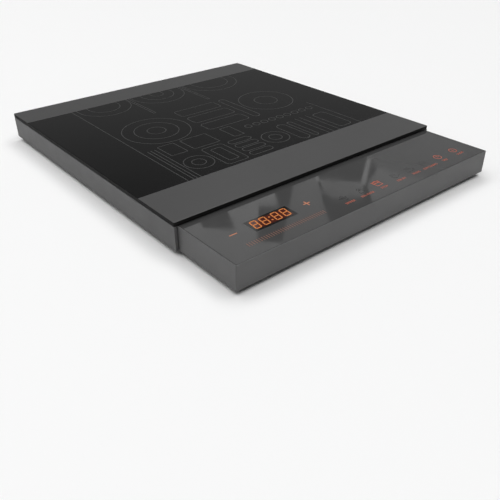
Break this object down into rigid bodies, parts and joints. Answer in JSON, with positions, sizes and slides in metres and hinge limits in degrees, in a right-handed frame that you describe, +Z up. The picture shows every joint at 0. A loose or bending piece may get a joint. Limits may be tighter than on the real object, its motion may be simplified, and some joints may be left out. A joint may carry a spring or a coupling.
{
  "type": "portable induction cooktop",
  "caption": "Slim square table-top induction cooktop with a ceramic glass top and a touch control drawer that slides in under the glass.",
  "frame": {"origin": "on the table, under the middle of the whole object with its drawer fully out", "axes": "+X to the user's right, +Y from the control drawer towards the back, +Z up"},
  "size_m": [0.33, 0.4066, 0.032],
  "materials": {
    "ceramic_glass": "gloss",
    "control_glass": "gloss",
    "housing": "satin",
    "base_plastic": "matte",
    "rubber": "matte",
    "steel": "satin",
    "aluminium": "satin",
    "copper": "varnished copper",
    "mica": "matte",
    "ferrite": "matte",
    "board": "satin",
    "component": "satin",
    "capacitor": "gloss",
    "lead": "satin",
    "light_guide": "satin"
  },
  "bodies": {
    "housing": {"ceramic_glass_top": "ceramic_glass", "glass_seal": "rubber", "outer_frame": "housing", "base_pan": "base_plastic", "foot_front_left": "rubber", "foot_rear_left": "rubber", "foot_front_right": "rubber", "foot_rear_right": "rubber", "base_screw_1": "steel", "base_screw_2": "steel", "base_screw_3": "steel", "base_screw_4": "steel", "mica_sheet": "mica", "coil_winding": "copper", "coil_carrier": "base_plastic", "thermal_sensor": "mica", "ferrite_bar_1": "ferrite", "ferrite_bar_2": "ferrite", "ferrite_bar_3": "ferrite", "ferrite_bar_4": "ferrite", "ferrite_bar_5": "ferrite", "ferrite_bar_6": "ferrite", "coil_spring_1": "steel", "coil_spring_2": "steel", "coil_spring_3": "steel", "fan_frame": "base_plastic", "power_board": "board", "heat_sink": "aluminium", "power_transistor": "component", "bridge_rectifier": "component", "resonant_capacitor": "capacitor", "smoothing_capacitor": "capacitor", "filter_capacitor": "capacitor", "choke_coil": "copper", "control_transformer": "ferrite", "mains_fuse": "component", "mains_terminal": "base_plastic", "cord_gland": "rubber", "coil_lead_outer": "lead", "coil_lead_inner": "lead", "sensor_lead": "lead", "fan_lead": "lead", "guide_rail_left": "aluminium", "guide_rail_right": "aluminium", "ribbon_cable": "mica"},
    "drawer": {"drawer_shell": "housing", "control_glass": "control_glass", "touch_sensor_film": "mica", "control_board": "board", "display_module": "component", "icon_light_guide": "light_guide", "buzzer": "base_plastic", "runner_left": "steel", "runner_right": "steel"},
    "fan": {"fan_rotor": "base_plastic"}
  },
  "joints": [
    {"name": "drawer_slide", "type": "slide", "parent": "housing", "child": "drawer", "axis": [0, 1, 0], "range_m": [0, 0.0745], "deforming": ["ribbon_cable"]},
    {"name": "fan_spin", "type": "hinge", "parent": "housing", "child": "fan", "pos_m": [-0.11, 0.15425, 0.0125], "axis": [0, 0, 1], "continuous": true}
  ]
}
